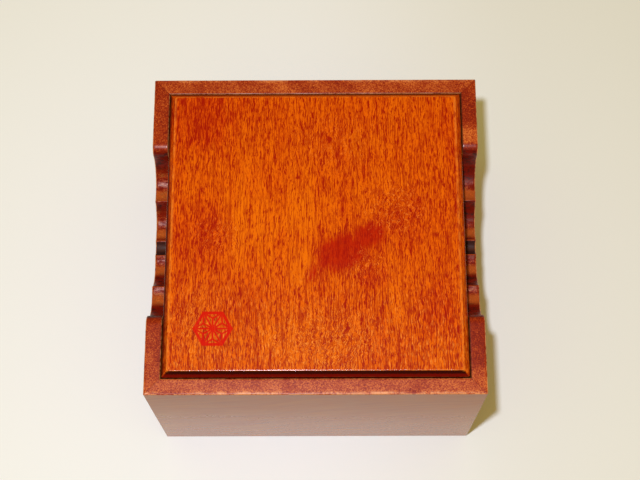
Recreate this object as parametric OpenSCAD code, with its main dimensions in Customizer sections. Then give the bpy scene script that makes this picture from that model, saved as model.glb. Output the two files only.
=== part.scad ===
// Square wooden piece box for a board game. The lid drops in between the walls, and its face
// stands a little above their rim.
// Millimetres. Origin at the centre of the footprint, +Z up, +Y towards the rear wall.

/* [Walls] */
// Outside width, side wall to side wall
box_w = 120; // [100:1:160]
// Outside depth, front wall to rear wall
box_d = 120; // [100:1:160]
// Height of the walls
box_h = 78; // [60:1:110]
// Thickness of the walls
wall_t = 5.8; // [4:0.2:9]
// Eased edge on the rim and on the upright corners
arris = 0.4; // [0.2:0.1:1]

/* [Finger notches] */
// Length of a notch along the rim
notch_len = 69; // [60:1:80]
// Radius that eases the rim into a notch
notch_lip_r = 4; // [2:0.5:6]
// Radius of the two outer scallops
outer_scallop_r = 10.25; // [8:0.25:12]
// Radius of the two inner scallops
inner_scallop_r = 9.7; // [8:0.1:12]
// Distance of an inner scallop's centre from the middle of the wall
inner_scallop_y = 7.2; // [5:0.1:9]
// Depth of the inner scallops below the rim
inner_scallop_depth = 20.2; // [18:0.2:24]
// Radius of the small nick in the middle
nick_r = 3; // [2:0.5:5]
// Depth of the nick below the rim
nick_depth = 20.7; // [18.5:0.1:25]

/* [Floor panel] */
// Thickness of the floor panel
floor_t = 4; // [3:0.5:6]
// Height of the floor panel's underside above the table
floor_lift = 3; // [2:0.5:6]
// Depth of the groove that holds the floor panel
groove_depth = 2.8; // [1.5:0.1:3.5]
// Room at each edge of the floor panel for the wood to move
float_gap = 0.3; // [0.1:0.1:1]

/* [Liner] */
// Thickness of the liner boards, whose top edges carry the lid
liner_t = 3; // [2:0.5:6]

/* [Lid] */
// Thickness of the lid
lid_t = 9.2; // [6:0.2:14]
// How far the lid's face stands above the rim
lid_proud = 2.2; // [0:0.1:4]
// Gap between the lid and the walls
lid_gap = 0.35; // [0.3:0.05:1.5]
// Bevel round the lid's face
lid_bevel = 1.9; // [0.5:0.1:4]
// Eased edge round the lid's underside
lid_foot_arris = 0.5; // [0.2:0.1:1]

/* [Hidden] */
$fn = 64;
// Overshoot of a cut past the face that it leaves
eps = 1;
inner_w = box_w - 2 * wall_t;
inner_d = box_d - 2 * wall_t;
floor_top = floor_lift + floor_t;
lid_face_z = box_h + lid_proud;
lid_seat_z = lid_face_z - lid_t;
lid_w = inner_w - 2 * lid_gap;
lid_d = inner_d - 2 * lid_gap;
liner_h = lid_seat_z - floor_top;
lip_z = box_h - notch_lip_r;
lip_y = notch_len / 2;
notch_side_y = lip_y - notch_lip_r;
outer_scallop_y = notch_side_y - outer_scallop_r;
inner_scallop_z = box_h - inner_scallop_depth + inner_scallop_r;
nick_z = box_h - nick_depth + nick_r;

// A wall board lying along X, outer face on Y = 0, with mitred ends and eased edges.
module mitred_board(length) {
    half = length / 2;
    intersection() {
        linear_extrude(height = box_h)
            polygon([[-half + arris, 0], [half - arris, 0],
                     [half - arris / 2, arris / 2], [half - wall_t, wall_t],
                     [wall_t - half, wall_t], [arris / 2 - half, arris / 2]]);
        rotate([90, 0, 90])
            translate([0, 0, -half])
                linear_extrude(height = length)
                    polygon([[0, 0], [wall_t, 0],
                             [wall_t, box_h - arris], [wall_t - arris, box_h],
                             [arris, box_h], [0, box_h - arris]]);
    }
}

// The groove that runs round the inside of the walls for the floor panel.
module floor_groove() {
    groove_w = inner_w + 2 * groove_depth;
    groove_d = inner_d + 2 * groove_depth;
    translate([-groove_w / 2, -groove_d / 2, floor_lift])
        cube([groove_w, groove_d, floor_t]);
}

// Outline of a finger notch, seen along the box, with heights measured from the table.
module notch_outline() {
    polygon([[-notch_side_y, lip_z], [-outer_scallop_y, lip_z],
             [-inner_scallop_y, inner_scallop_z], [0, nick_z],
             [inner_scallop_y, inner_scallop_z], [outer_scallop_y, lip_z],
             [notch_side_y, lip_z], [notch_side_y, box_h + eps],
             [-notch_side_y, box_h + eps]]);
    translate([0, nick_z])
        circle(r = nick_r);
    for (side = [-1, 1]) {
        translate([side * outer_scallop_y, lip_z])
            circle(r = outer_scallop_r);
        translate([side * inner_scallop_y, inner_scallop_z])
            circle(r = inner_scallop_r);
        difference() {
            translate([side * (notch_side_y + notch_lip_r / 2), lip_z + (notch_lip_r + eps) / 2])
                square([notch_lip_r, notch_lip_r + eps], center = true);
            translate([side * lip_y, lip_z])
                circle(r = notch_lip_r);
        }
    }
}

// The notch cut through a side wall; side is -1 for the left wall and 1 for the right.
module notch_cut(side) {
    translate([side * (box_w / 2 - wall_t / 2) - wall_t / 2 - eps, 0, 0])
        rotate([90, 0, 90])
            linear_extrude(height = wall_t + 2 * eps)
                notch_outline();
}

module front_wall() {
    color("sienna")
        difference() {
            translate([0, -box_d / 2, 0])
                mitred_board(box_w);
            floor_groove();
        }
}

module rear_wall() {
    color("sienna")
        difference() {
            translate([0, box_d / 2, 0])
                rotate([0, 0, 180])
                    mitred_board(box_w);
            floor_groove();
        }
}

module left_wall() {
    color("firebrick")
        difference() {
            translate([-box_w / 2, 0, 0])
                rotate([0, 0, -90])
                    mitred_board(box_d);
            floor_groove();
            notch_cut(-1);
        }
}

module right_wall() {
    color("firebrick")
        difference() {
            translate([box_w / 2, 0, 0])
                rotate([0, 0, 90])
                    mitred_board(box_d);
            floor_groove();
            notch_cut(1);
        }
}

module floor_panel() {
    panel_w = inner_w + 2 * (groove_depth - float_gap);
    panel_d = inner_d + 2 * (groove_depth - float_gap);
    color("peru")
        translate([-panel_w / 2, -panel_d / 2, floor_lift])
            cube([panel_w, panel_d, floor_t]);
}

// A liner board that stands on the floor panel; the lid comes down on its top edge.
module liner_board(size_x, size_y, centre_x, centre_y) {
    color("burlywood")
        translate([centre_x - size_x / 2, centre_y - size_y / 2, floor_top])
            cube([size_x, size_y, liner_h]);
}

module liner_front() {
    liner_board(inner_w - 2 * liner_t, liner_t, 0, (liner_t - inner_d) / 2);
}

module liner_rear() {
    liner_board(inner_w - 2 * liner_t, liner_t, 0, (inner_d - liner_t) / 2);
}

module liner_left() {
    liner_board(liner_t, inner_d, (liner_t - inner_w) / 2, 0);
}

module liner_right() {
    liner_board(liner_t, inner_d, (inner_w - liner_t) / 2, 0);
}

// Side view of the lid: bevelled round its face, eased round its underside.
module lid_outline(width) {
    half = width / 2;
    polygon([[lid_foot_arris - half, lid_seat_z], [half - lid_foot_arris, lid_seat_z],
             [half, lid_seat_z + lid_foot_arris], [half, lid_face_z - lid_bevel],
             [half - lid_bevel, lid_face_z], [lid_bevel - half, lid_face_z],
             [-half, lid_face_z - lid_bevel], [-half, lid_seat_z + lid_foot_arris]]);
}

module lid() {
    color("darkorange")
        intersection() {
            rotate([90, 0, 0])
                translate([0, 0, -lid_d / 2])
                    linear_extrude(height = lid_d)
                        lid_outline(lid_w);
            rotate([90, 0, 90])
                translate([0, 0, -lid_w / 2])
                    linear_extrude(height = lid_w)
                        lid_outline(lid_d);
        }
}

front_wall();
rear_wall();
left_wall();
right_wall();
floor_panel();
liner_front();
liner_rear();
liner_left();
liner_right();
lid();
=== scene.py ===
import math
from functools import reduce
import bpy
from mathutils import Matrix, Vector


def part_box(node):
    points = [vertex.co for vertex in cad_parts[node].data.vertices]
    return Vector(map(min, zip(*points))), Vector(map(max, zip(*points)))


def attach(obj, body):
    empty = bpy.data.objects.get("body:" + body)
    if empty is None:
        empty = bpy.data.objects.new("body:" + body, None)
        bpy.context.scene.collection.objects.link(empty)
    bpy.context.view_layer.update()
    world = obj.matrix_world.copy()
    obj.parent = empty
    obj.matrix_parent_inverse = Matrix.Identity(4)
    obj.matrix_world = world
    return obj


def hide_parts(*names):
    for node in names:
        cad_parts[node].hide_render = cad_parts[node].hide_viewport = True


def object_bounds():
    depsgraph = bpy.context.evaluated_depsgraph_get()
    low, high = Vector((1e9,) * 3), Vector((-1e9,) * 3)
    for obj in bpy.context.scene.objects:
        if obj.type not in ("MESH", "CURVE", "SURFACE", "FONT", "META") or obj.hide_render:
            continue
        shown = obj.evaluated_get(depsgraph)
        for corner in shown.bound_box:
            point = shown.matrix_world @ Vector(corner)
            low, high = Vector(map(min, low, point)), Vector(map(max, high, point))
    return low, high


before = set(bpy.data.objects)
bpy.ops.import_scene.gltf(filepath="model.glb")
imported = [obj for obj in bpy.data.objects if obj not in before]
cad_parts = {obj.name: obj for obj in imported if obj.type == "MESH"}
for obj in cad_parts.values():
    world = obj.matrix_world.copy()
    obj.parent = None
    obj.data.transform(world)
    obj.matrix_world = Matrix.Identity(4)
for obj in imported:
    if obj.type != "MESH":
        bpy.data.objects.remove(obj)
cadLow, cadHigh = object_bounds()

from types import SimpleNamespace

import bmesh
import bpy
import numpy as np

mm = 0.001
print("frame loaded:", len(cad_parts), "nodes")

# Sizes that come from the frame, in millimetres.
frontLow, frontHigh = (np.array(corner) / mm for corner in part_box("front_wall"))
floorLow, floorHigh = (np.array(corner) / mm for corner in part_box("floor_panel"))
lidLow, lidHigh = (np.array(corner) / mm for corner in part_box("lid"))
boxHalf = cadHigh.x / mm
rimHeight = float(frontHigh[2])
wallThick = float(frontHigh[1] - frontLow[1])
lidTop = float(lidHigh[2])


# A grid of points (rows, columns, 3) in millimetres becomes a closed mesh: columns wrap round,
# and the first and last rows are capped. Points that coincide are merged.
def meshFromGrid(name, points, edge, sharpAngle=40):
    rows, columns = points.shape[:2]
    index = np.arange(rows * columns).reshape(rows, columns)
    nextColumn = np.roll(index, -1, axis=1)
    quads = np.stack([index[:-1], nextColumn[:-1], nextColumn[1:], index[1:]], axis=-1)
    faces = quads.reshape(-1, 4).tolist()
    faces.append(index[0].tolist())
    faces.append(index[-1][::-1].tolist())
    mesh = bpy.data.meshes.new(name)
    mesh.from_pydata((points.reshape(-1, 3) * mm).tolist(), [], faces)
    attribute = mesh.attributes.new("edge", "FLOAT", "POINT")
    attribute.data.foreach_set("value", edge.reshape(-1).astype(np.float32))
    work = bmesh.new()
    work.from_mesh(mesh)
    bmesh.ops.remove_doubles(work, verts=work.verts, dist=0.0005 * mm)
    bmesh.ops.dissolve_degenerate(work, edges=work.edges, dist=0.0002 * mm)
    bmesh.ops.recalc_face_normals(work, faces=work.faces)
    work.to_mesh(mesh)
    work.free()
    mesh.shade_smooth()
    mesh.set_sharp_from_angle(angle=math.radians(sharpAngle))
    piece = bpy.data.objects.new(name, mesh)
    bpy.context.scene.collection.objects.link(piece)
    weighted = piece.modifiers.new("weighted", "WEIGHTED_NORMAL")
    weighted.keep_sharp = True
    return piece


# Points on an arc: centre plus radius times (cos, sin) of evenly spaced angles in degrees.
def arcPoints(centre, radius, start, end, count):
    turn = np.radians(np.linspace(start, end, count))
    outward = np.stack([np.cos(turn), np.sin(turn)], axis=-1)
    return np.array(centre) + radius * outward, outward


notch = {
    "length": 69.0,
    "lipRadius": 4.0,
    "outerRadius": 10.25,
    "innerRadius": 9.7,
    "innerOffset": 7.2,
    "innerDepth": 20.2,
    "nickRadius": 3.0,
    "nickDepth": 20.7,
    "cuspRadius": 0.6,
}


# Centre of the small round that tops the cusp between two scallops: it lies at each scallop's
# radius plus its own from that scallop's centre, on the lower side.
def cuspCentre(first, firstRadius, second, secondRadius, cusp):
    first, second = np.array(first), np.array(second)
    reachA, reachB = firstRadius + cusp, secondRadius + cusp
    span = np.linalg.norm(second - first)
    along = (second - first) / span
    distance = (span ** 2 + reachA ** 2 - reachB ** 2) / (2 * span)
    aside = math.sqrt(reachA ** 2 - distance ** 2)
    below = np.array([along[1], -along[0]])
    return first + along * distance + below * aside


# Direction from a centre to a point in degrees: the arctangent of the rise over the run.
def angleTo(centre, point):
    return math.degrees(math.atan2(point[1] - centre[1], point[0] - centre[0]))


# The notched stretch of a side wall's rim, as (length, height) points and the normals that point
# out of the wood. Each scallop is an arc whose normals point at its centre; each cusp and lip is
# an arc whose normals point away from its centre. The front half is the mirror of the rear half.
def notchLine(spec, top):
    lipY = spec["length"] / 2
    lip = (lipY, top - spec["lipRadius"])
    outer = (lipY - spec["lipRadius"] - spec["outerRadius"], lip[1])
    inner = (spec["innerOffset"], top - spec["innerDepth"] + spec["innerRadius"])
    nick = (0.0, top - spec["nickDepth"] + spec["nickRadius"])
    cusp = spec["cuspRadius"]
    nickR, innerR, outerR = spec["nickRadius"], spec["innerRadius"], spec["outerRadius"]
    low = cuspCentre(nick, nickR, inner, innerR, cusp)
    high = cuspCentre(inner, innerR, outer, outerR, cusp)
    parts = []
    for centre, radius, start, end, count, hollow in (
        (nick, nickR, -90, angleTo(nick, low), 9, True),
        (low, cusp, angleTo(low, nick), angleTo(low, inner), 7, False),
        (inner, innerR, angleTo(inner, low), angleTo(inner, high), 32, True),
        (high, cusp, angleTo(high, inner), angleTo(high, outer), 9, False),
        (outer, outerR, angleTo(outer, high), 0, 44, True),
        (lip, spec["lipRadius"], 180, 90, 16, False),
    ):
        points, outward = arcPoints(centre, radius, start, end, count)
        parts.append(np.hstack([points, -outward if hollow else outward]))
    half = np.vstack(parts)
    mirrored = half[::-1] * np.array([-1, 1, -1, 1])
    return np.vstack([mirrored, half])


wall = {
    "arris": 0.35,
    "wearDepth": 0.35,
    "arrisSteps": 7,
    "topShares": (0.1, 0.35, 0.65, 0.9),  # where rows of points run along the rim, across its flat
    "cornerSteps": 5,
    "straightSteps": 40,
}


# How far the arris is worn at each place along a board, from 0 to 1: a few slow waves added up.
def wornness(place, seed):
    waves = [(0.043, 1.3), (0.117, 4.1), (0.29, 2.2), (0.61, 5.3)]
    total = sum(np.sin(place * rate * 2 * math.pi + phase * seed) / (1 + 2 * k)
                for k, (rate, phase) in enumerate(waves))
    return 0.5 + 0.5 * total / 1.9


# The cross-section of a wall: up the outer face, over two rounded arrises, down the inner face
# past the floor groove and under the foot. Its rows are the inset from the outer face, the depth
# below the rim, the height above the table, 1 where the depth counts and 0 where the height
# does, and how exposed the edge is. A round is the sine and cosine of a quarter turn.
def wallSection(spec):
    arris = spec["arris"]
    quarter = np.radians(np.linspace(0, 90, spec["arrisSteps"]))
    rise, run, exposed = arris * np.sin(quarter), arris * np.cos(quarter), np.sin(2 * quarter)
    none, full = np.zeros_like(quarter), np.ones_like(quarter)
    share = np.array(spec["topShares"])
    flat = np.zeros_like(share)
    grooveInset, grooveLow, grooveHigh = boxHalf - floorHigh[0], floorLow[2], floorHigh[2]
    groove = np.array([(wallThick, 0, grooveHigh, 0, 0), (grooveInset, 0, grooveHigh, 0, 0),
                       (grooveInset, 0, grooveLow, 0, 0), (wallThick, 0, grooveLow, 0, 0)]).T
    return np.hstack([
        [arris - rise, none, arris - run, none, exposed],
        [arris - run, arris - rise, none, full, exposed],
        [arris + (wallThick - 2 * arris) * share, flat, flat, flat + 1, flat],
        [wallThick - arris + rise, arris - run, none, full, exposed],
        groove,
        [wallThick - arris + run, none, arris - rise, none, exposed],
    ])


# A wall is its cross-section carried along the rim line. Each end turns 45 degrees round the
# upright corner and stops on the mitre. The worn arris is drawn down and in by the same amount.
def makeWall(name, turnDegrees, line, seed):
    arris = wall["arris"]
    inset, below, height, onRim, edge = wallSection(wall)
    straightHalf = boxHalf - np.maximum(arris, inset)
    cornerRadius = np.maximum(arris - inset, 0)
    lineHalf = abs(line[-1, 0]) if len(line) else 0.0
    share = np.linspace(0, 1, wall["straightSteps"] + 1)[:, None]
    turn = np.radians(np.linspace(0, 45, wall["cornerSteps"] + 1))[1:, None]
    place = np.vstack([lineHalf + share * (straightHalf - lineHalf),
                       straightHalf + cornerRadius * np.sin(turn)])
    inward = np.vstack([inset + 0 * share, inset + cornerRadius * (1 - np.cos(turn))])
    level = np.where(onRim > 0, rimHeight - below, height) + 0 * place
    right = np.stack([place, inward, level], axis=-1)
    y, z, normalY, normalZ = line.T[:, :, None]
    length = np.where(onRim > 0, y - below * normalY, y - arris * normalY)
    notched = np.stack([length, inset + 0 * length,
                        np.where(onRim > 0, z - below * normalZ, height)], axis=-1)
    grid = np.concatenate([right[::-1] * (-1, 1, 1), notched, right])
    worn = wornness(grid[..., 0], seed) * wall["wearDepth"] * arris * edge * onRim
    grid[..., 2] -= worn * 0.7
    grid[..., 1] += np.where(inset < wallThick / 2, worn, -worn) * 0.7
    angle = math.radians(turnDegrees)
    across, inward = grid[..., 0], grid[..., 1] - boxHalf
    world = np.stack([across * math.cos(angle) - inward * math.sin(angle),
                      across * math.sin(angle) + inward * math.cos(angle), grid[..., 2]], axis=-1)
    return meshFromGrid(name, world, np.broadcast_to(edge * onRim, grid.shape[:2]))


# A ring round a rounded rectangle: four quarter arcs of the corner radius, joined by straights.
def roundedRing(halfX, halfY, corner, steps=8, straight=6):
    turn = np.radians(np.linspace(0, 90, steps))
    arc = np.stack([np.cos(turn), np.sin(turn)], axis=-1) * corner
    corners = [arc + (halfX - corner, halfY - corner),
               arc[::-1] * (-1, 1) + (corner - halfX, halfY - corner),
               arc * (-1, -1) + (corner - halfX, corner - halfY),
               arc[::-1] * (1, -1) + (halfX - corner, corner - halfY)]
    ring = []
    for k, part in enumerate(corners):
        following = corners[(k + 1) % 4][0]
        share = np.linspace(0, 1, straight + 1)[1:-1, None]
        ring += [part, part[-1] + (following - part[-1]) * share]
    return np.vstack(ring)


# A board is a side profile carried round a rounded rectangle. The profile lists (inset, height,
# corner radius, edge) from the underside's rim, round the edge, to the top's rim; the flat faces
# are the outermost rings shrunk towards the centre.
def makeBoard(name, low, high, profile, shrinks=(0.999, 0.98, 0.85, 0.6, 0.3, 0.02)):
    centre = (np.array(low) + np.array(high)) / 2
    halfX, halfY = (np.array(high) - np.array(low))[:2] / 2
    rings, edges = [], []
    for inset, level, corner, edge in profile:
        ring = roundedRing(halfX - inset, halfY - inset, corner)
        rings.append(np.column_stack([ring, np.full(len(ring), level)]))
        edges.append(np.full(len(ring), edge))
    under = [rings[0] * (s, s, 1) for s in shrinks[::-1]]
    over = [rings[-1] * (s, s, 1) for s in shrinks]
    plain = np.zeros(len(rings[0]))
    grid = np.array(under + rings + over) + (centre[0], centre[1], 0)
    edges = np.array([plain] * len(shrinks) + edges + [plain] * len(shrinks))
    return meshFromGrid(name, grid, edges, 50)


board = {"edgeRound": 0.3, "cornerRound": 0.3}


# Profile of a plain board: flat faces with a rounded edge between them, whose rounds are the
# sine and cosine of a quarter turn.
def easedProfile(spec, bottom, top):
    radius = spec["edgeRound"]
    turn = np.radians(np.linspace(0, 90, 6))
    rise, run = radius * np.sin(turn), radius * np.cos(turn)
    inset = np.concatenate([radius - rise, radius - run])
    level = np.concatenate([bottom + radius - run, top - radius + rise])
    corner = np.full(len(inset), spec["cornerRound"])
    return np.column_stack([inset, level, corner, np.tile(np.sin(2 * turn), 2)])


lid = {
    "bevel": 1.9,
    "bevelRound": 0.6,
    "lowerRound": 0.3,
    "footRound": 0.6,
    "cornerAtSide": 0.5,
    "cornerAtFace": 1.1,
}


# The lid's profile: a rounded lower edge, an upright side, a 45 degree bevel with a small round
# at its foot and a larger one at its head, where it meets the face. A round that eases a bend of
# 45 degrees starts at its radius times the tangent of 22.5 degrees from the bend.
def lidProfile(spec, bottom, top):
    bevel, foot, side = spec["bevel"], spec["footRound"], spec["cornerAtSide"]
    low, high = spec["lowerRound"], spec["bevelRound"]
    turn = np.radians(np.linspace(0, 90, 6))
    parts = [np.column_stack([foot - foot * np.sin(turn), bottom + foot - foot * np.cos(turn),
                              np.full(len(turn), side), np.sin(2 * turn)])]
    cornerGrowth = (spec["cornerAtFace"] - side) / bevel
    reach = math.tan(math.radians(22.5))
    for radius, centreInset, centreLevel, first in (
        (low, low, top - bevel - low * reach, 0),
        (high, bevel + high * reach, top - high, 45),
    ):
        turn = np.radians(np.linspace(first, first + 45, 7))
        inset = centreInset - radius * np.cos(turn)
        level = centreLevel + radius * np.sin(turn)
        exposed = np.sin((np.degrees(turn) - first) / 45 * math.pi)
        parts.append(np.column_stack([inset, level, side + cornerGrowth * inset, exposed]))
    return np.vstack(parts)


print("walls")
rimLine = notchLine(notch, rimHeight)
plainLine = np.zeros((0, 4))
pieces = {
    "front_wall": makeWall("wall_front", 0, plainLine, 1.0),
    "right_wall": makeWall("wall_right", 90, rimLine, 2.0),
    "rear_wall": makeWall("wall_rear", 180, plainLine, 3.0),
    "left_wall": makeWall("wall_left", 270, rimLine, 4.0),
}

print("boards")
for node in ("floor_panel", "liner_front", "liner_rear", "liner_left", "liner_right"):
    low, high = (np.array(corner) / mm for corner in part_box(node))
    pieces[node] = makeBoard("board_" + node, low, high, easedProfile(board, low[2], high[2]))
pieces["lid"] = makeBoard("lid_board", lidLow, lidHigh, lidProfile(lid, lidLow[2], lidHigh[2]))


# One value, vector or colour on its way through a material. Arithmetic on values adds Math nodes.
class Wire:
    def __init__(self, tree, socket=None):
        self.tree = tree
        self.socket = socket

    # Any node: its type, its settings, then the values or links of its sockets.
    def add(self, kind, settings=None, inputs=None, output=0):
        node = self.tree.nodes.new(kind)
        for key, value in (settings or {}).items():
            setattr(node, key, value)
        for key, value in (inputs or {}).items():
            if isinstance(value, Wire):
                self.tree.links.new(value.socket, node.inputs[key])
            else:
                node.inputs[key].default_value = value
        return Wire(self.tree, node.outputs[output])

    def math(self, operation, *others):
        inputs = {k: value for k, value in enumerate((self,) + others)}
        return self.add("ShaderNodeMath", {"operation": operation}, inputs)

    def __add__(self, other):
        return self.math("ADD", other)

    def __radd__(self, other):
        return self.math("ADD", other)

    def __sub__(self, other):
        return self.math("SUBTRACT", other)

    def __rsub__(self, other):
        return self.add("ShaderNodeMath", {"operation": "SUBTRACT"}, {0: other, 1: self})

    def __mul__(self, other):
        return self.math("MULTIPLY", other)

    def __rmul__(self, other):
        return self.math("MULTIPLY", other)

    def __truediv__(self, other):
        return self.math("DIVIDE", other)

    def __neg__(self):
        return self.math("MULTIPLY", -1.0)

    def absolute(self):
        return self.math("ABSOLUTE")

    def least(self, other):
        return self.math("MINIMUM", other)

    def most(self, other):
        return self.math("MAXIMUM", other)

    # 0 at low and 1 at high, with a smooth step between them; low may be above high.
    def step(self, low, high):
        flip = low > high
        first, last = (high, low) if flip else (low, high)
        ends = (1.0, 0.0) if flip else (0.0, 1.0)
        return self.add("ShaderNodeMapRange", {"interpolation_type": "SMOOTHSTEP"},
                        {"Value": self, "From Min": first, "From Max": last,
                         "To Min": ends[0], "To Max": ends[1]})

    # From this colour to another by a factor from 0 to 1.
    def toward(self, colour, factor):
        return self.add("ShaderNodeMix", {"data_type": "RGBA"}, {0: factor, 6: self, 7: colour}, 2)

    def split(self):
        node = self.tree.nodes.new("ShaderNodeSeparateXYZ")
        self.tree.links.new(self.socket, node.inputs[0])
        return [Wire(self.tree, out) for out in node.outputs]

    def combine(self, x, y, z):
        return self.add("ShaderNodeCombineXYZ", None, {0: x, 1: y, 2: z})

    def colour(self, value):
        node = self.add("ShaderNodeRGB")
        node.socket.default_value = value
        return node


def rgb(red, green, blue):
    def linear(value):
        value /= 255
        return value / 12.92 if value <= 0.04045 else ((value + 0.055) / 1.055) ** 2.4
    return (linear(red), linear(green), linear(blue), 1.0)


# A new material and where it is worked out: the place in millimetres, the way the face looks,
# and how exposed the mesh says that an edge is.
def newWood(name):
    material = bpy.data.materials.new(name)
    material.use_nodes = True
    start = Wire(material.node_tree)
    x, y, z = (axis * (1 / mm) for axis in start.add("ShaderNodeTexCoord", None, None, "Object").split())
    facingX, facingY, facingZ = start.add("ShaderNodeTexCoord", None, None, "Normal").split()
    exposed = start.add("ShaderNodeAttribute", {"attribute_name": "edge"}, None, "Fac")
    return material, SimpleNamespace(start=start, x=x, y=y, z=z, place=(x, y, z), facingX=facingX,
                                     facingY=facingY, facingZ=facingZ, exposed=exposed)


# Noise from 0 to 1: each coordinate over its cell's size, plus its shift. A kind of noise is the
# cells' sizes in mm, the detail, the roughness and the shift in cells; moved adds to the shift.
def noiseAt(at, place, kind, moved=(0, 0, 0)):
    cells, detail, roughness, shift = kind
    offsets = [own + extra for own, extra in zip(shift, moved)]
    scaled = [value / cell + offset if offset else value / cell
              for value, cell, offset in zip(place, cells, offsets)]
    inputs = {"Vector": at.start.combine(*scaled), "Scale": 1.0, "Detail": detail, "Roughness": roughness}
    return at.start.add("ShaderNodeTexNoise", None, inputs, "Fac")


# The finished colour, roughness and relief go into the material.
def finishWood(material, at, colour, rough, relief, reliefDepth):
    shader = material.node_tree.nodes["Principled BSDF"]
    bump = at.start.add("ShaderNodeBump", None,
                        {"Height": relief, "Distance": reliefDepth * mm, "Strength": 1.0})
    for wire, socket in ((colour, "Base Color"), (rough, "Roughness"), (bump, "Normal")):
        material.node_tree.links.new(wire.socket, shader.inputs[socket])
    return shader


# Curls and patches are (x, y, radius x, radius y, weight): curls bend the fibres, and patches
# crowd the dark grain, or clear it where the weight is below 0. Stains are (x, y, half length,
# half width, turn in degrees). A fade, foot, band or depth is two distances in mm: something
# comes in from the first to the second. The patches' fade is in radii, and levels are noise.
lidWood = {
    "wander": 3.0, "quiver": 1.1, "curl": 2.0,
    "curls": [(29, 8, 14, 13, 1.0), (4, -41, 24, 14, 1.0), (-36, -2, 11, 10, 0.8),
              (18, -14, 9, 8, 0.8), (8, 34, 18, 14, 0.5), (-42, -34, 12, 16, 0.6)],
    "patches": [(-43, 44, 18, 17, 0.45), (-24, 47, 10, 9, 0.12), (6, 37, 26, 17, 0.04),
                (18, 33, 9, 8, -0.15), (36, 3, 17, 16, 0.15), (49, 34, 8, 17, 0.12),
                (-42, -2, 13, 15, 0.24), (44, -30, 10, 13, 0.28), (20, -18, 7, 6, 0.35),
                (-40, -42, 15, 14, -0.08), (-24, 2, 12, 20, -0.3), (-6, 6, 10, 14, -0.26),
                (-6, -14, 10, 12, -0.3), (-4, -40, 22, 14, -0.28), (29, -27, 9, 15, -0.1)],
    "patchFade": (1.15, 0.25), "figureShare": 0.6, "ribbonShare": 0.45,
    "crowding": 0.13, "boldFront": 0.2, "frontFade": (-5.0, -45.0),
    "fleckLevel": (0.495, 0.59), "fleckDark": 0.6,
    "dashLevel": (0.545, 0.595), "dashDark": 0.9,
    "lineLevel": (0.50, 0.60), "lineDark": 0.58,
    "light": rgb(230, 107, 0), "deep": rgb(214, 61, 0), "dark": rgb(155, 13, 0),
    "stains": [(9.4, -8.8, 10.2, 7.3, 24), (18.8, -2.6, 7.6, 5.2, 30), (-0.6, -16.2, 4.2, 2.2, 72)],
    "stainColour": rgb(182, 34, 0), "brushed": 9, "frayed": 1.6, "stainFade": (1.5, -2.4),
    # The sheen colour and the gleams paint highlights of the finish into the colour, strongest towards
    # the front.
    "sheen": rgb(250, 152, 58), "gleamLevel": (0.53, 0.64),
    "endDark": rgb(52, 8, 4), "endLight": rgb(112, 8, 2), "endFoot": (0.8, 1.3),
    "endRear": rgb(218, 98, 2), "endRearShare": 0.85, "rearBevelShare": 0.35,
    # The last two numbers paint the shadow of the gap as a dark line at the foot of the left and rear
    # bevels.
    "sideDark": rgb(96, 16, 2), "sideDarkDepth": (0.5, 1.9), "gapShadeDark": 0.85, "gapShadeBand": (3.6, 2.6),
    "worn": rgb(250, 142, 44), "wear": 0.6, "ridgeWear": 0.42,
    "roughness": 0.165, "roughVary": 0.05, "reliefDepth": 0.010,
}
lidNoise = {
    "wander": ((24, 52, 24), 2.0, 0.5, (0, 0, 0)),
    "quiver": ((2.6, 5.5, 2.6), 1.0, 0.5, (3, 0, 0)),
    "ragged": ((3.0, 7.5, 1), 4.0, 0.65, (0, 0, 2)),
    "curl": ((1.5, 1.2, 1), 1.0, 0.5, (0, 4, 0)),
    "figure": ((5.5, 5.5, 13), 3.0, 0.62, (0, 0, 0)),
    "ribbon": ((4.2, 4.2, 70), 2.0, 0.5, (20, 0, 0)),
    "fleck": ((0.34, 0.34, 1.9), 3.0, 0.7, (0, 0, 0)),
    "dash": ((0.391, 0.391, 3.23), 2.0, 0.6, (31, 0, 0)),
    "line": ((0.374, 0.374, 13.3), 2.0, 0.6, (57, 0, 0)),
    "brush": ((0.6, 7, 1), 3.0, 0.7, (9, 0, 0)),
    "blotch": ((3.5, 3.5, 1), 3.0, 0.6, (5, 0, 0)),
    "ripple": ((1.1, 1.9, 1), 1.0, 0.5, (40, 0, 0)),
    "gleam": ((0.42, 0.42, 2.2), 2.0, 0.6, (80, 0, 0)),
    "speckle": ((1 / 2.4, 1 / 2.4, 1 / 2.4), 2.0, 0.7, (0, 0, 0)),
    "sideNoise": ((1, 2.4, 1), 3.0, 0.65, (0, 0, 0)),
    "wear": ((1.7, 3.1, 3), 4.0, 0.7, (9, 0, 0)),
    "smear": ((5, 5, 1), 3.0, 0.6, (0, 0, 7)),
    "grit": ((0.6, 1.1, 0.6), 2.0, 0.6, (0, 0, 0)),
    "blot": ((1 / 1.1, 1 / 1.1, 1), 3.0, 0.75, (0, 0, 3)),
}


# A soft round patch: its weight at its centre and 0 outside, by the distance over its radii,
# plus a ragged noise.
def patchAt(at, patch, spec):
    centreX, centreY, radiusX, radiusY, weight = patch
    dx, dy = (at.x - centreX) / radiusX, (at.y - centreY) / radiusY
    reach = (dx * dx + dy * dy).math("SQRT") + at.ragged
    return reach.step(*spec["patchFade"]) * weight


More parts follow.
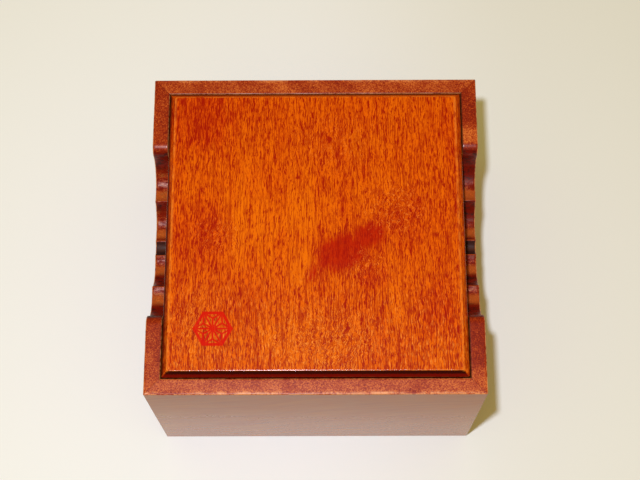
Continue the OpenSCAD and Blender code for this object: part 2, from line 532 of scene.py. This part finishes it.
# The course of the lid's fibres, front to back: they wander slowly, quiver finely and curl in
# some patches. a and b are the places across the fibres, and along is the place along them.
def followFibres(at, spec):
    wander = (noiseAt(at, at.place, lidNoise["wander"]) - 0.5) * spec["wander"]
    quiver = (noiseAt(at, at.place, lidNoise["quiver"]) - 0.5) * spec["quiver"]
    at.ragged = (noiseAt(at, (at.x + wander, at.y, 0.0), lidNoise["ragged"]) - 0.5) * 2.0
    at.curled = reduce(Wire.most, [patchAt(at, patch, spec) for patch in spec["curls"]])
    curl = (noiseAt(at, at.place, lidNoise["curl"]) - 0.5) * at.curled * spec["curl"]
    at.a = at.x + wander + quiver + curl
    at.b = at.z + wander * 0.5
    at.along = at.y + curl * 1.6


# How crowded the dark grain is, from 0 to 1: a figure, long ribbons and the patches, added up.
def crowdAt(at, spec):
    figure = noiseAt(at, (at.a, at.b, at.y), lidNoise["figure"])
    ribbon = noiseAt(at, (at.a, at.b, at.y), lidNoise["ribbon"])
    crowd = 0.5 + (figure - 0.5) * spec["figureShare"] + (ribbon - 0.5) * spec["ribbonShare"]
    return sum((patchAt(at, patch, spec) for patch in spec["patches"]), crowd)


# How dark the grain is, from 0 to 1: short flecks, longer dashes and long fine lines, each a
# stretched noise cut at a level. Where the figure is crowded, more flecks and dashes pass, and
# towards the front the flecks and the lines are bolder.
def grainDarkness(at, crowd, spec):
    lean = (crowd - 0.5) * spec["crowding"]
    fibre = (at.a, at.b, at.along)
    at.flecks = (noiseAt(at, fibre, lidNoise["fleck"]) + lean).step(*spec["fleckLevel"])
    at.dashes = (noiseAt(at, fibre, lidNoise["dash"]) + lean).step(*spec["dashLevel"])
    lines = noiseAt(at, fibre, lidNoise["line"]).step(*spec["lineLevel"])
    bold = 1 + at.toFront * spec["boldFront"]
    clear = (1 - at.flecks * bold * spec["fleckDark"]) * (1 - at.dashes * spec["dashDark"])
    return 1 - clear * (1 - lines * bold * spec["lineDark"])


# The red stain on the face: turned ovals joined, whose rim the fibres draw out, in blotches.
def stainOn(at, spec):
    reaches = []
    for centreX, centreY, halfX, halfY, turned in spec["stains"]:
        turn = math.radians(turned)
        dx, dy = at.x - centreX, at.y - centreY
        u = (dx * math.cos(turn) + dy * math.sin(turn)) / halfX
        v = (dy * math.cos(turn) - dx * math.sin(turn)) / halfY
        reaches.append(((u * u + v * v).math("SQRT") - 1) * min(halfX, halfY))
    brush = (noiseAt(at, (at.a, at.y, 0.0), lidNoise["brush"]) - 0.5) * spec["brushed"]
    blotch = noiseAt(at, (at.x, at.y, 0.0), lidNoise["blotch"])
    outside = reduce(Wire.least, reaches) + brush + at.ragged * spec["frayed"]
    return outside.step(*spec["stainFade"]) * (0.75 + blotch * 0.5)


# Pale ripples where the fibres curl, in part figure and in part a painted sheen that grows towards
# the front, and fine painted glints of sheen towards the front; then the dark grain with the dark
# threads beside the ripples. A ripple is the band where a noise crosses one level.
def grainOver(at, colour, dark, spec):
    ripple = noiseAt(at, (at.a, at.y, at.z), lidNoise["ripple"]) - 0.5
    gleam = noiseAt(at, (at.a, at.b, at.along), lidNoise["gleam"]).step(*spec["gleamLevel"])
    rippledSheen = (ripple - 0.07).absolute().step(0.05, 0.0) * at.curled * (0.4 + at.toFront * 0.3)
    colour = colour.toward(spec["sheen"], rippledSheen.most(gleam * at.toFront * 0.5))
    threads = (ripple + 0.03).absolute().step(0.05, 0.01) * at.curled * 0.5
    return colour.toward(spec["dark"], 1 - (1 - dark) * (1 - threads))


# The lid's edges. The front bevel is dark speckled end grain, paler at its foot, where its darker
# head is a painted dark reflection, and paler to the rear; the left and right sides are darker
# towards their foot, towards the front on the left and more on the left, in mottles; and a painted
# shadow of the gap runs as a dark line at the foot of the left and rear bevels. Returns the colour
# and where end grain and sides are.
def edgesOver(at, colour, spec):
    rearBevel = at.facingY.step(0.25, 0.6)
    endOn = at.facingY.step(-0.25, -0.6).most(rearBevel * spec["rearBevelShare"])
    sideOn = at.facingX.absolute().step(0.3, 0.7)
    speckle = noiseAt(at, at.place, lidNoise["speckle"])
    # The head of the front bevel is darker than its foot: a painted dark reflection on the end grain.
    endTone = speckle - 0.5 + at.y.step(0.0, 50.0) + at.depth.step(*spec["endFoot"]) * 0.5
    endColour = at.start.colour(spec["endDark"]).toward(spec["endLight"], endTone.step(0.0, 0.5))
    endColour = endColour.toward(spec["endRear"], at.y.step(0.0, 45.0) * spec["endRearShare"])
    colour = colour.toward(endColour, endOn)
    # The sides darken towards their foot, towards the front on the left and more on the left, in mottles.
    toLeft = at.x.step(20.0, -20.0)
    lowerDarkening = at.depth.step(*spec["sideDarkDepth"]) * (0.45 + toLeft * 0.25)
    shade = 0.12 + at.y.step(40.0, 0.0) * toLeft * 0.3 + lowerDarkening
    shade = shade + (at.ragged + noiseAt(at, at.place, lidNoise["sideNoise"]) - 0.5) * 0.5
    colour = colour.toward(spec["sideDark"], sideOn * shade.step(0.0, 1.0))
    # A painted shadow of the gap beside the lid: a dark line at the foot of the left and rear bevels.
    leftGapShade = at.depth.step(1.45, 1.75) * sideOn * at.x.step(10.0, -10.0)
    rearGapShade = at.depth.step(0.75, 1.3) * rearBevel
    lidGapShade = leftGapShade.most(rearGapShade) * at.depth.step(*spec["gapShadeBand"])
    return colour.toward(spec["endDark"], lidGapShade * spec["gapShadeDark"]), endOn, sideOn


# Where the lid is worn pale, from 0 to 1: its edges in ragged spots, and the face beside the
# ridges of the left and right bevels.
def lidWear(at, endOn, sideOn, spec):
    spots = noiseAt(at, at.place, lidNoise["wear"])
    worn = at.exposed.step(0.2, 0.9) * spots.step(0.36, 0.60) * (1 - endOn * 0.7) * spec["wear"]
    ridge = float(lidHigh[0]) - lid["bevel"]
    rubbed = at.x.absolute().step(ridge - 1.1, ridge - 0.2) * at.onFace * (1 - sideOn)
    return worn.most(rubbed * spots.step(0.30, 0.62) * spec["ridgeWear"])


# The lid's wood: stained, glossy, dark pores running front to back on an orange ground, in
# patches that are darker or clearer, with a red stain, a printed mark, dark end grain, a painted
# sheen towards the front and a painted shadow of the gap at its edges.
def makeLidWood(name, spec):
    material, at = newWood(name)
    at.depth = lidTop - at.z
    at.onFace = at.depth.step(0.6, 0.1)
    at.toFront = at.y.step(*spec["frontFade"])
    followFibres(at, spec)
    crowd = crowdAt(at, spec)
    dark = grainDarkness(at, crowd, spec)
    colour = at.start.colour(spec["light"]).toward(spec["deep"], crowd.step(0.0, 1.15) * 0.75)
    colour = colour.toward(spec["stainColour"], stainOn(at, spec) * at.onFace)
    colour = grainOver(at, colour, dark, spec)
    colour = colour.toward(mark["ink"], markOn(at, mark) * at.onFace * 0.9)
    colour, endOn, sideOn = edgesOver(at, colour, spec)
    colour = colour.toward(spec["worn"], lidWear(at, endOn, sideOn, spec))
    smear = noiseAt(at, (at.x, at.y, 0.0), lidNoise["smear"])
    rough = spec["roughness"] + (smear - 0.5) * spec["roughVary"] + at.dashes * 0.02
    grit = noiseAt(at, (at.a, at.y, at.z), lidNoise["grit"])
    relief = at.flecks * -0.35 + at.dashes * -0.5 + grit * 0.9
    relief = relief * (0.2 + at.facingZ.step(0.9, 0.99) * 0.8)  # the bevels are smoother
    finishWood(material, at, colour, rough, relief, spec["reliefDepth"])
    return material


mark = {"centre": (-36.1, -36.8), "reach": 5.7, "rimHalf": 0.52, "lineHalf": 0.31,
        "blot": 0.35, "soft": 0.14, "ink": rgb(205, 4, 0)}


# The mark is a hexagon of hemp-leaf lines. The angle is folded into one sixth, where the lines
# are the rim, the spoke to the corner, and the strokes that meet at the triangle's middle.
def markOn(at, spec):
    mx, my = at.x - spec["centre"][0], at.y - spec["centre"][1]
    radius = (mx * mx + my * my).math("SQRT")
    angle = my.math("ARCTAN2", mx) + 4 * math.pi
    folded = (angle.math("MODULO", math.pi / 3) - math.pi / 6).absolute()
    px, py = radius * folded.math("COSINE"), radius * folded.math("SINE")
    sine, cosine = math.sqrt(0.75), 0.5  # of 60 degrees
    reach, middle, lineHalf = spec["reach"], spec["reach"] * 2 / 3, spec["lineHalf"]
    rim = (px - reach).absolute() - spec["rimHalf"]
    spoke = (px * cosine - py * sine).absolute().most(px - reach) - lineHalf
    toMiddle = py.most(px - middle) - lineHalf
    qx = px - middle
    toCorner = (qx * sine - py * cosine).absolute().most(px - reach).most(-qx) - lineHalf
    blot = (noiseAt(at, (at.x, at.y, 0.0), lidNoise["blot"]) - 0.5) * spec["blot"]
    return (rim.least(spoke).least(toMiddle).least(toCorner) + blot).step(spec["soft"], -spec["soft"])


# The walls' upright faces have shallow wavy streaks that lean by an angle and sway by a distance
# in mm. longGrain is 1 on a board whose flat faces show its long grain too.
wallWood = {
    "longGrain": 0.0, "lean": 18, "sway": 26, "streakContrast": 1.0, "faceCloud": 0.8,
    "gritContrast": 3.0, "crumbContrast": 0.3, "cloudContrast": 1.0, "lift": 0.0,
    "mottleContrast": 4.2, "notchLift": -0.04,
    "dark": rgb(118, 24, 8), "middle": rgb(160, 46, 8), "light": rgb(214, 110, 40),
    # The streaked faces' tint is partly the wood's colour and partly a painted reflection of the pale
    # table on the walls' upright faces.
    "faceTintAndReflection": rgb(170, 112, 14), "tintShare": 0.6, "tintStreak": 0.9,
    "notchDark": rgb(106, 6, 0), "nickDark": rgb(44, 14, 7), "nickHalf": 2.6,
    # The rim's inner edge is painted dark as the shadow of the gap beside the lid; one number here sets
    # how dark, and each wall sets its own share.
    "worn": rgb(240, 160, 96), "wear": 0.75, "rubFade": (1.5, 0.5), "gapShadeStrength": 0.85,
    "seam": 0.6, "seamFade": (0.22, 0.04),
    "roughness": 0.29, "roughVary": 0.08, "handled": 0.19, "reliefDepth": 0.012,
}
wallNoise = {
    "grit": ((1 / 2.7, 1 / 2.7, 1 / 2.7), 2.0, 0.8, (0, 0, 0)),
    "crumb": ((1 / 0.95, 1 / 0.95, 1 / 0.95), 2.0, 0.6, (0, 0, 0)),
    "cloud": ((8, 8, 8), 3.0, 0.62, (0, 0, 0)),
    "mottle": ((3.0, 1.4, 1.9), 4.0, 0.75, (0, 0, 0)),
    "sway": ((60, 50, 90), 1.0, 0.5, (0, 0, 0)),
    "streak": ((30, 2.4, 2.4), 3.0, 0.62, (0, 0, 0)),
    "wear": ((2.1, 2.1, 2.1), 4.0, 0.7, (9, 0, 0)),
}
crosswise = {"grain": "x", "shine": 0.46, "tint": (1.0, 1.0, 1.0, 1.0)}  # boards from left to right
lengthwise = {"grain": "y", "shine": 0.34, "tint": (1.0, 0.90, 0.78, 1.0)}  # from front to rear
wallSides = {
    "front_wall": dict(crosswise, seed=4.0, lift=0.18, rubbed=1.0, innerGapShade=0.3),
    "rear_wall": dict(crosswise, seed=31.0, lift=0.1, rubbed=0.4, innerGapShade=0.5),
    "left_wall": dict(lengthwise, seed=13.0, lift=-0.10, rubbed=0.0, innerGapShade=0.5,
                      frontTilt=-0.6, paleLip=0.0),
    "right_wall": dict(lengthwise, seed=22.0, lift=-0.18, rubbed=0.0, innerGapShade=0.9,
                       frontTilt=-0.2, paleLip=0.55),
}
innerWood = dict(wallWood, longGrain=1.0, middle=rgb(168, 74, 24), light=rgb(206, 122, 58),
                 frontTilt=-0.3, paleLip=0.0, roughness=0.5, handled=0.0,
                 wear=0.0, rubbed=0.0, seam=0.0, innerGapShade=0.0)
innerSides = {
    "floor_panel": dict(crosswise, seed=33.0),
    "liner_front": dict(crosswise, seed=33.0),
    "liner_rear": dict(crosswise, seed=30.0),
    "liner_left": dict(lengthwise, seed=30.0),
    "liner_right": dict(lengthwise, seed=33.0),
}


# The noises of a board. Its streaks are long along the fibres, which lean in the upright plane
# and sway up and down; the rims and the notches show grit, crumbs, clouds and mottling instead.
def boardFigure(at, spec):
    moved = (spec["seed"], 0, 0)
    at.grit, at.crumb, at.cloud, at.mottle = (
        noiseAt(at, at.place, wallNoise[kind], moved) for kind in ("grit", "crumb", "cloud", "mottle"))
    onBoard, across = (at.y, at.x) if spec["grain"] == "y" else (at.x, at.y)
    lean = math.radians(spec["lean"])
    sway = (noiseAt(at, (onBoard, across, at.z), wallNoise["sway"], moved) - 0.5) * spec["sway"]
    upFibre = onBoard * math.cos(lean) + at.z * math.sin(lean)
    acrossFibre = onBoard * math.sin(lean) - at.z * math.cos(lean) + sway
    at.streak = noiseAt(at, (upFibre, across, acrossFibre), wallNoise["streak"], moved)


# Which faces show streaks, from 0 to 1, and which belong to a notch. A side wall's rim is paler
# at its front end and, on one wall, just behind the notch.
def sortFaces(at, spec):
    at.below = rimHeight - at.z
    at.streaked = at.facingZ.absolute().step(0.6, 0.2).most(spec["longGrain"])
    if spec["grain"] == "y":
        lipY = notch["length"] / 2
        at.notchFace = at.below.step(0.3, 1.5) * at.facingX.absolute().step(0.6, 0.3)
        at.streaked = at.streaked * (1 - at.notchFace)
        behindNotch = at.y.step(lipY + 9.5, lipY + 2.5) * at.y.step(lipY - 1.5, lipY + 0.5)
        at.cloud = at.cloud + at.y.step(-44.0, -58.0) * 0.3 + behindNotch * spec["paleLip"]
    at.inNotch = at.below.step(0.3, 1.5) * (1 - at.streaked)


# The wood before stain and wear: dark, middle or light by a tone from 0 to 1, with a tint on the
# streaked faces, which on the walls' upright faces is partly a painted reflection of the pale table.
def boardColour(at, spec):
    rimTone = (at.grit - 0.5) * spec["gritContrast"] + (at.crumb - 0.5) * spec["crumbContrast"]
    rimTone = rimTone + (at.cloud - 0.5) * spec["cloudContrast"]
    faceTone = (at.streak - 0.5) * spec["streakContrast"] + (at.cloud - 0.5) * spec["faceCloud"]
    stained = at.inNotch * ((at.mottle - 0.5) * spec["mottleContrast"] + spec["notchLift"])
    tone = 0.5 + (rimTone + spec["lift"] + stained) * (1 - at.streaked) + faceTone * at.streaked
    colour = at.start.colour(spec["dark"]).toward(spec["middle"], tone.step(0.0, 0.62))
    colour = colour.toward(spec["light"], tone.step(0.5, 1.15))
    tint = spec["tintShare"] + (at.streak - 0.5) * spec["tintStreak"]
    return colour.toward(spec["faceTintAndReflection"], at.streaked * tint)


# Stain in a notch, and its dark nick. Faces that turn to the rear, or to the front past a tilt,
# have drunk more stain, in mottles, and so have steep ones; faces that turn a little to the rear are
# paler; and the nick in the middle is coloured darkest. Returns the colour and how much rougher the
# wood is.
def stainNotch(at, colour, spec):
    tilted = at.facingY.step(0.15, 0.5).most(at.facingY.step(spec["frontTilt"], spec["frontTilt"] - 0.35))
    drunk = tilted.most(at.facingY.absolute().step(0.5, 0.95)) * at.notchFace
    paler = at.facingY.step(-0.12, 0.05) * at.facingY.step(0.42, 0.25) * at.notchFace
    colour = colour.toward(spec["light"], paler * 0.4)
    colour = colour.toward(spec["notchDark"], drunk * (0.6 + at.mottle.step(0.38, 0.60) * 0.7))
    soaked = drunk.most(at.notchFace * 0.5) * at.mottle.step(0.48, 0.62)
    colour = colour.toward(spec["nickDark"], soaked * 0.8)
    inNick = at.y.absolute().step(spec["nickHalf"] + 0.15, spec["nickHalf"] - 0.15) * at.notchFace
    rougher = inNick * 0.38 + drunk * 0.14 + at.notchFace * ((at.mottle - 0.5) * 0.7 - 0.075)
    return colour.toward(spec["nickDark"], inNick * 0.9), rougher


# Painted shade and wear, by the distance in from the outer face: the inner edge of the rim is
# painted dark as the shadow of the gap beside the lid, the outer edge is rubbed pale in spots, and
# the mitres are thin dark seams. Returns the colour and the wear.
def wearRim(at, colour, spec):
    width, depth = at.x.absolute(), at.y.absolute()
    inset = boxHalf - width.most(depth)
    spots = noiseAt(at, at.place, wallNoise["wear"], (0, 0, spec["seed"]))
    outer = inset.step(*spec["rubFade"]) * (1 - at.streaked) * (1 - at.inNotch)
    rubbed = outer * at.cloud.step(0.42, 0.60) * spec["rubbed"]
    worn = at.exposed.step(0.15, 0.8).most(rubbed) * spots.step(0.38, 0.58) * spec["wear"]
    inner = inset.step(wallThick - 0.6, wallThick - 0.25) * (1 - at.streaked * at.below.step(1.2, 2.4))
    # A painted shadow of the gap beside the lid, along the rim's inner edge; the wear is taken off there
    # too.
    wallGapShade = inner * spec["innerGapShade"]
    worn = worn * (1 - wallGapShade)
    colour = colour.toward(spec["nickDark"], wallGapShade * spec["gapShadeStrength"]).toward(spec["worn"], worn)
    seam = (width - depth).absolute().step(*spec["seamFade"]) * at.crumb.step(0.35, 0.6)
    return colour.toward(spec["nickDark"], seam * spec["seam"]), worn


# The walls' wood: darker and rougher than the lid. Its rims and notches are speckled in every
# direction, and its upright faces, which hands have dulled towards the top, are streaked.
def makeWallWood(name, spec):
    material, at = newWood(name)
    boardFigure(at, spec)
    sortFaces(at, spec)
    colour, rougher = boardColour(at, spec), 0.0
    if spec["grain"] == "y":
        colour, rougher = stainNotch(at, colour, spec)
    colour, worn = wearRim(at, colour, spec)
    rough = spec["roughness"] + (at.cloud - 0.5) * spec["roughVary"] + worn * 0.1
    rough = rough + at.streaked * (at.z.step(4.0, rimHeight) * spec["handled"] - 0.10) + rougher
    relief = (at.grit + at.crumb * 0.8) * (1 - at.streaked)
    relief = relief + (at.crumb * 0.1 + at.streak * 0.25) * at.streaked
    shader = finishWood(material, at, colour, rough, relief, spec["reliefDepth"])
    shader.inputs["Specular IOR Level"].default_value = spec["shine"]
    shader.inputs["Specular Tint"].default_value = spec["tint"]
    return material


print("materials")
woods = {"lid": makeLidWood("lid_wood", lidWood)}
for node, side in wallSides.items():
    woods[node] = makeWallWood(node + "_wood", dict(wallWood, **side))
for node, side in innerSides.items():
    woods[node] = makeWallWood(node + "_wood", dict(innerWood, **side))

print("assigning")
for node, piece in pieces.items():
    piece.data.materials.append(woods[node])
    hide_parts(node)
    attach(piece, "lid" if node == "lid" else "case")


# Places are in metres and turns in degrees. The table's colour changes between two places in x,
# which paints the light falling off towards the right.
stage = {
    "tableSize": 0.8, "tableLeft": (0.94, 0.935, 0.92, 1), "tableRight": (0.85, 0.83, 0.77, 1),
    "tableChange": (-0.02, 0.10), "tableRoughness": 0.7, "tableShine": 0.2,
    "keyPlace": (-0.029, -0.123, 0.600), "keyTurn": (12, -3, 0), "keySize": 0.022,
    "keyWatts": 2.84, "keyColour": (0.76, 0.83, 1.0),
    "roomColour": (0.45, 0.36, 0.13, 1), "roomGloss": (0.03, 0.025, 0.012, 1),
    "roomSeen": (0.82, 0.79, 0.68, 1),
    "cameraPlace": (0.00331, -0.16355, 0.55509), "cameraTurn": (18.559, 0.234, -0.117),
    "lens": 78.577, "sensor": 36, "nearest": 0.01,
}


# A flat square table, paler and cooler on the left, darker and warmer on the right: a painted
# fall-off of the light.
def makeTable(spec):
    half = spec["tableSize"] / 2
    mesh = bpy.data.meshes.new("table")
    corners = [(-half, -half, 0), (half, -half, 0), (half, half, 0), (-half, half, 0)]
    mesh.from_pydata(corners, [], [(0, 1, 2, 3)])
    table = bpy.data.objects.new("table", mesh)
    bpy.context.scene.collection.objects.link(table)
    material = bpy.data.materials.new("table")
    material.use_nodes = True
    shader = material.node_tree.nodes["Principled BSDF"]
    start = Wire(material.node_tree)
    x = start.add("ShaderNodeTexCoord", None, None, "Object").split()[0]
    colour = start.colour(spec["tableLeft"]).toward(spec["tableRight"], x.step(*spec["tableChange"]))
    material.node_tree.links.new(colour.socket, shader.inputs["Base Color"])
    shader.inputs["Roughness"].default_value = spec["tableRoughness"]
    shader.inputs["Specular IOR Level"].default_value = spec["tableShine"]
    mesh.materials.append(material)


# A small disk lamp above the box, a little to the left and the front.
def makeKeyLight(spec):
    data = bpy.data.lights.new("key", "AREA")
    data.shape = "DISK"
    data.size = spec["keySize"]
    data.energy = spec["keyWatts"]
    data.color = spec["keyColour"]
    light = bpy.data.objects.new("key", data)
    light.location = spec["keyPlace"]
    light.rotation_euler = [math.radians(v) for v in spec["keyTurn"]]
    bpy.context.scene.collection.objects.link(light)


# The room: a warm light all round, darker where it is reflected and pale where it is seen.
def makeRoom(spec):
    world = bpy.data.worlds.new("room")
    bpy.context.scene.world = world
    world.use_nodes = True
    tree = world.node_tree
    rays = tree.nodes.new("ShaderNodeLightPath")
    isCamera, isGlossy = (Wire(tree, rays.outputs[name]) for name in ("Is Camera Ray", "Is Glossy Ray"))
    room = Wire(tree).colour(spec["roomColour"]).toward(spec["roomGloss"], isGlossy)
    room = room.toward(spec["roomSeen"], isCamera)
    background = tree.nodes["Background"]
    tree.links.new(room.socket, background.inputs["Color"])
    background.inputs["Strength"].default_value = 1.0


# The camera looks down on the box from in front of it.
def makeCamera(spec):
    data = bpy.data.cameras.new("camera")
    data.lens = spec["lens"]
    data.sensor_width = spec["sensor"]
    data.clip_start = spec["nearest"]
    camera = bpy.data.objects.new("camera", data)
    camera.location = spec["cameraPlace"]
    camera.rotation_euler = [math.radians(v) for v in spec["cameraTurn"]]
    bpy.context.scene.collection.objects.link(camera)
    bpy.context.scene.camera = camera


print("stage, light and camera")
makeTable(stage)
makeKeyLight(stage)
makeRoom(stage)
makeCamera(stage)
bpy.context.scene.view_settings.view_transform = "Standard"
